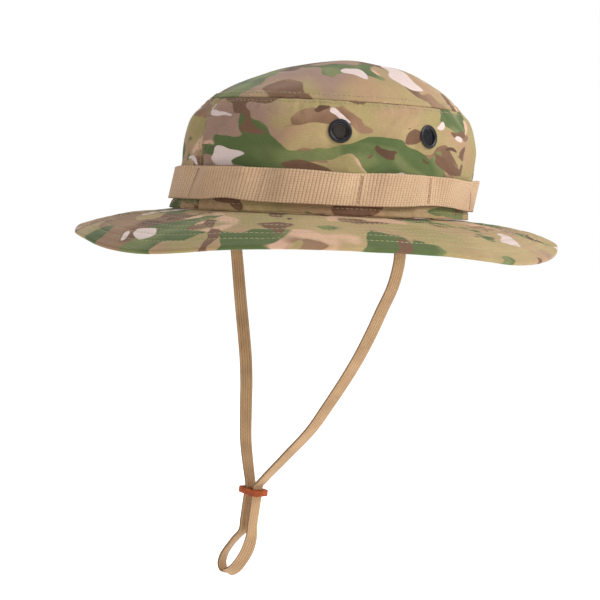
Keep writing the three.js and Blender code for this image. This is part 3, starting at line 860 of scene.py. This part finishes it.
runs = []
for pts, outs in ((wall_l_points, wall_l_out), (wall_r_points, wall_r_out)):
    for row in (-3, 4):
        runs.append(run_along(*wall_line(pts, outs, row=row), 3.0))
    for column in (2, -3):
        q, o = wall_line(pts, outs, column=column)
        runs.append(run_along(q[3:-2], o[3:-2], 3.0))
j = int(np.argmin(np.abs((1 - top_s) * 80 - 3.2)))
runs.append(run_along(top_points[:, j] + top_out[:, j] * 0.1, top_out[:, j], 3.0, True))
stitches("crown_stitching", runs, 2.2, 0.24, "hat", thread_material(
    "crown_thread", srgb(160, 142, 100), srgb(138, 122, 86)))


# ---------------------------------------------------------------- foliage band
def band_share(t):
    """0 where the webbing is sewn down, 1 where it stands clear."""
    bars = np.array(sorted(b % 360 for b in BARS))
    t = np.asarray(t) % 360
    gaps = np.abs((t[..., None] - bars + 180) % 360 - 180).min(-1)
    return step(gaps, 1.2, 9.5)


def band_grow(t, z):
    share = band_share(t)
    return (soft(WALL, z) + 0.75) * (1 - share) + (BAND_OFF + 0.25 * np.sin(rad(3 * t))) * share


def band_lift(t, z):
    """The webbing's lower edge rides up by the ear and between two bars in front; its upper edge sags."""
    t = (np.asarray(t) + 180) % 360 - 180
    high = (z - BAND_LOW) / (BAND_HIGH - BAND_LOW)
    low_edge = 1.5 * bump_out(t - 76, 8) + 2.3 * bump_out(t + 8, 17) + 0.5 * bump_out(t + 118, 16)
    high_edge = -1.0 * bump_out(t - 33, 11) - 1.6 * bump_out(t + 30, 17) - 1.1 * bump_out(t - 124, 12) \
        - 0.8 * bump_out(t + 90, 15)
    return low_edge * (1 - high) + high_edge * high


def band_at(t, z, out=0.0):
    return join(ellipse(t, band_grow(t, z) + out) + lean(soft(LEAN, z)), z + band_lift(t, z))


def foliage_band():
    t = np.linspace(0, 360, 2880, endpoint=False)[:, None]
    z = np.linspace(BAND_LOW, BAND_HIGH, 26)[None]
    tt, zz = np.broadcast_arrays(t, z)
    base = band_at(tt, zz)
    n = facing_out(base)
    seg = np.linalg.norm(np.roll(base[:, 13], -1, 0) - base[:, 13], axis=-1)
    arc = np.concatenate([[0], np.cumsum(seg)])
    total, arc = arc[-1], arc[:-1, None] + np.zeros_like(zz)
    arc, total = arc * round(total / RIB) * RIB / total, round(total / RIB) * RIB
    rib = RIB_HIGH * np.abs(np.sin(np.pi * arc / RIB)) ** 0.7
    cross = 0.05 * np.sin(2 * np.pi * zz / 1.1 + np.pi * np.floor(arc / RIB))
    edge = 0.16 * (bump_out(zz - BAND_LOW, 0.7) + bump_out(zz - BAND_HIGH, 0.7))
    wander = 0.25 * noise(arc / 30, zz / 30, 41)
    p = base + n * (rib + cross + edge + wander + WEB_LIFT)[..., None]
    p[..., 2] += 0.25 * noise(arc / 26, zz * 0, 43)
    uv = np.stack([np.concatenate([arc, arc[:1] + total], 0), np.concatenate([zz, zz[:1]], 0)], -1) / 100
    obj = grid_mesh("foliage_webbing", p, uv, closed=True, flip=winds_in(p, 5))
    obj.data.materials.append(WEB)
    thicken(obj, WEBBING)
    fit_out(obj, "hat", ["foliage_band"])


foliage_band()

for k, bar in enumerate(BARS):
    zs = np.linspace(BAND_LOW + 1.2, BAND_HIGH - 1.2, 15)
    runs = []
    for lane in (-0.25, 0.25):
        line = band_at(bar + lane + 0.16 * np.cos(np.arange(15) * 2.1 + lane + k), zs, 1.0)
        outs = join(ellipse(np.full(14, float(bar)), 0), np.zeros(14))
        runs.append(((line[1:] + line[:-1]) / 2, line[1:] - line[:-1], outs))
    stitches(f"band_bar_stitching_{k + 1}", runs, 1.2, 0.22, "hat", BAR_THREAD,
             [f"band_bar_{k + 1}"])


# ---------------------------------------------------------------- vents
def vent_matrix(t):
    way = math.radians(t + TURN)
    slope = float(soft(WALL, VENT_Z - 1) - soft(WALL, VENT_Z + 1)) / 2
    n = Vector(((HALF_Y - 4) * math.cos(way), -(HALF_X - 4) * math.sin(way), 0)).normalized()
    n.z = slope
    n.normalize()
    m = Vector((0, 0, 1)).rotation_difference(n).to_matrix().to_4x4()
    m.translation = Vector(crown_at(np.array(float(t)), np.array(VENT_Z)))
    return m


def lathe(name, profile, m, sides=56):
    verts, faces, k = [], [], len(profile)
    for i in range(sides):
        a = 2 * math.pi * i / sides
        for r, h in profile:
            verts.append(m @ Vector((r * math.cos(a), r * math.sin(a), h)))
        e = (i + 1) % sides
        faces += [(i * k + j, e * k + j, e * k + (j + 1) % k, i * k + (j + 1) % k) for j in range(k)]
    return to_mesh(name, [tuple(v) for v in verts], faces)


def wire(points, r, sides=6):
    points = np.asarray(points, float)
    way = np.gradient(points, axis=0)
    way /= np.linalg.norm(way, axis=1, keepdims=True)
    up = np.array([0, 0, 1.0])
    side = np.cross(way, up)
    side /= np.linalg.norm(side, axis=1, keepdims=True)
    top = np.cross(side, way)
    angles = np.linspace(0, 2 * math.pi, sides, False)
    v = np.stack([points + r * (math.cos(a) * side + math.sin(a) * top) for a in angles], 1)
    m = len(points)
    idx = np.arange(m * sides).reshape(m, sides)
    nxt = np.roll(idx, -1, 1)
    f = np.stack([idx[:-1], nxt[:-1], nxt[1:], idx[1:]], -1).reshape(-1, 4).tolist()
    return v.reshape(-1, 3), f + [list(idx[0][::-1]), list(idx[-1])]


def screen(name, m):
    """Woven wire disc: two sets of wires that pass over and under each other."""
    radius, wires = BORE_R - 0.35, []
    for set_no in (0, 1):
        for i in range(-7, 8):
            half = math.sqrt(max(0, radius ** 2 - (i * SCREEN_GAP) ** 2))
            if half < SCREEN_GAP:
                continue
            x = np.linspace(-half, half, 37)
            y = np.full(37, i * SCREEN_GAP)
            wave = SCREEN_WIRE * np.cos(np.pi * x / SCREEN_GAP + np.pi * (i + set_no)) + SCREEN_DEPTH
            wires.append(wire(np.stack([y, x, wave] if set_no else [x, y, wave], -1), SCREEN_WIRE))
    a = np.linspace(0, 2 * np.pi, 49)
    rim = np.stack([(radius - 0.05) * np.cos(a), (radius - 0.05) * np.sin(a), np.full(49, SCREEN_DEPTH)], -1)
    wires.append(wire(rim, 0.28, 8))
    verts, faces = [], []
    for v, f in wires:
        base = sum(len(q) for q in verts)
        verts.append(v)
        faces += [[j + base for j in q] for q in f]
    mat = np.array(m)
    return to_mesh(name, np.concatenate(verts) @ mat[:3, :3].T + mat[:3, 3], faces)


b, f = BORE_R, FLANGE_R
EYELET = [(b, -2.6), (b + 0.45, -2.6), (b + 0.5, -0.2), (b + 0.8, 0.2), (f - 0.5, 0.14), (f - 0.1, 0.25),
          (f, 0.5), (f - 0.15, 0.78), (f - 0.5, 1.0), (f - 1.0, 1.12), (f - 1.5, 1.08), (b + 0.6, 0.9),
          (b + 0.25, 0.66), (b + 0.05, 0.35), (b, 0)]
WASHER = [(b + 0.75, -1.75), (f - 0.6, -1.75), (f - 0.3, -1.95), (f - 0.5, -2.3), (f - 1.1, -2.6),
          (b + 1.0, -2.6), (b + 0.75, -2.4)]
for name, t in VENTS.items():
    m = vent_matrix(t)
    fit_out(lathe(f"eyelet_{name}", EYELET, m), "hat", [f"vent_eyelet_{name}"], ENAMEL)
    fit_out(lathe(f"washer_{name}", WASHER, m), "hat", [f"vent_washer_{name}"], ENAMEL)
    fit_out(screen(f"screen_{name}", m), "hat", [f"vent_screen_{name}"], SCREEN)


# ---------------------------------------------------------------- inside: sweatband, tapes, label, cord tabs
def inner_strip(name, t, z, inset, thick, material, replaces, closed=False, lift=None):
    """Strip lying inside the crown wall, inset from its outer face."""
    tt, zz = np.broadcast_arrays(t[:, None], z[None])
    p = crown_at(tt, zz, inset)
    seg = np.linalg.norm(np.diff(p[:, 0], axis=0), axis=-1)
    arc = np.concatenate([[0], np.cumsum(seg)])[:, None] + np.zeros_like(zz)
    n = facing_out(p, closed)
    if lift is not None:
        p = p - n * lift(arc, zz)[..., None]
    obj = grid_mesh(name, p, np.stack([arc, zz], -1) / 100, closed=closed, flip=winds_in(p))
    obj.data.materials.append(material)
    thicken(obj, thick)
    fit_out(obj, "hat", replaces)
    return p - n * thick, -n


ring_t = np.linspace(0, 360, 360, endpoint=False)
sweat_p, sweat_n = inner_strip(
    "sweatband_cloth_ring", ring_t, np.linspace(1, 30, 30), 1.6, 0.9, LINING,
    ["sweatband"], True, lambda a, z: 0.25 + 0.35 * noise(a / 14, z / 16, 51) * step(z, 4, 14)
    - 0.2 * bump_out(z - 4, 0.9) - 0.2 * bump_out(z - 27, 0.9))
inner_strip("crown_seam_tape", ring_t, np.linspace(61, 67, 8), 1.6, 0.7, TAPE,
            ["crown_seam_binding"], True, lambda a, z: 0.3 + 0.2 * noise(a / 7, z / 5, 53))
for name, t in (("front", 90.0), ("back", -90.0)):
    inner_strip(f"{name}_upright_tape", np.linspace(t - 3.2, t + 3.2, 14), np.linspace(31, 59.5, 24), 1.5,
                0.6, TAPE, [f"{name}_seam_tape"], False,
                lambda a, z: 0.25 * bump_out(a - 5.3, 3))
inner_strip("blank_label", np.linspace(-97.5, -82.5, 20), np.linspace(8, 24, 16), 3.4, 0.4,
            LABEL, ["size_label"], False)
runs = [run_along(sweat_p[:, row] + sweat_n[:, row] * 0.1, sweat_n[:, row], 3.2, True) for row in (3, 26)]
stitches("sweatband_stitching", runs, 2.3, 0.24, "hat", THREAD)


def cord_tab(side, name):
    """Folded tab that sews one end of the cord to the sweatband."""
    u, v = np.meshgrid(np.linspace(-1, 1, 14), np.linspace(-1, 1, 14), indexing="ij")
    x = side * (79.7 + 0.35 - 0.25 * (np.abs(u) ** 4 + np.abs(v) ** 4)) + lean(1.07)[0]
    p = np.stack([x, CORD_Y + lean(1.07)[1] + 3.9 * u, 6 + 3.9 * v], -1)
    flip = (np.cross(p[1, 0] - p[0, 0], p[0, 1] - p[0, 0])[0] * side) < 0
    obj = grid_mesh(f"cord_tab_{name}", p, np.stack([u, v], -1) * 0.04, flip=flip)
    obj.data.materials.append(TAPE)
    thicken(obj, 0.9)
    fit_out(obj, "hat", [f"cord_anchor_{name}"])


cord_tab(1, "left")
cord_tab(-1, "right")


# ---------------------------------------------------------------- floor and light
def floor():
    mesh = bpy.data.meshes.new("floor")
    r, z = 8.0, -0.30
    mesh.from_pydata([(-r, -r, z), (r, -r, z), (r, r, z), (-r, r, z)], [], [(0, 1, 2, 3)])
    obj = bpy.data.objects.new("floor", mesh)
    bpy.context.collection.objects.link(obj)
    n = Nodes("floor")
    at = n.add("ShaderNodeTexCoord").outputs["Object"]
    n.finish(n.mix(n.noise(at, 3.0), (0.90, 0.90, 0.90, 1), (0.93, 0.93, 0.925, 1)), Roughness=0.9,
             Emission_Color=(1, 1, 1, 1), Emission_Strength=0.62, Specular_IOR_Level=0.0)
    obj.data.materials.append(n.mat)


def area_light(name, place, aim, size, power, colour=(1, 1, 1)):
    data = bpy.data.lights.new(name, "AREA")
    data.shape, data.size, data.energy, data.color = "DISK", size, power, colour
    obj = bpy.data.objects.new(name, data)
    obj.location = place
    obj.rotation_mode = "QUATERNION"
    obj.rotation_quaternion = (Vector(aim) - Vector(place)).to_track_quat("-Z", "Y")
    bpy.context.collection.objects.link(obj)


def world():
    w = bpy.data.worlds.new("studio")
    bpy.context.scene.world = w
    w.use_nodes = True
    tree = w.node_tree
    bg = tree.nodes["Background"]
    bg.inputs[0].default_value = (1, 1, 1, 1)
    path = tree.nodes.new("ShaderNodeLightPath")
    mix = tree.nodes.new("ShaderNodeMapRange")
    mix.inputs[3].default_value, mix.inputs[4].default_value = 0.50, 1.0
    tree.links.new(path.outputs["Is Camera Ray"], mix.inputs[0])
    tree.links.new(mix.outputs[0], bg.inputs[1])


def around(azimuth, elevation, distance):
    a, e = math.radians(azimuth), math.radians(elevation)
    flat = math.cos(e) * distance
    return math.sin(a) * flat, -math.cos(a) * flat, math.sin(e) * distance


floor()
world()
area_light("key", around(AZIMUTH + 66, 36, 1.9), (0, 0, 0), 1.0, 27)
area_light("fill", around(AZIMUTH - 10, 60, 2.4), (0, 0, -0.05), 1.6, 6)
area_light("rim", around(AZIMUTH + 190, 50, 2.2), (0, 0, 0), 1.4, 10)
bpy.context.scene.view_settings.view_transform = "Standard"
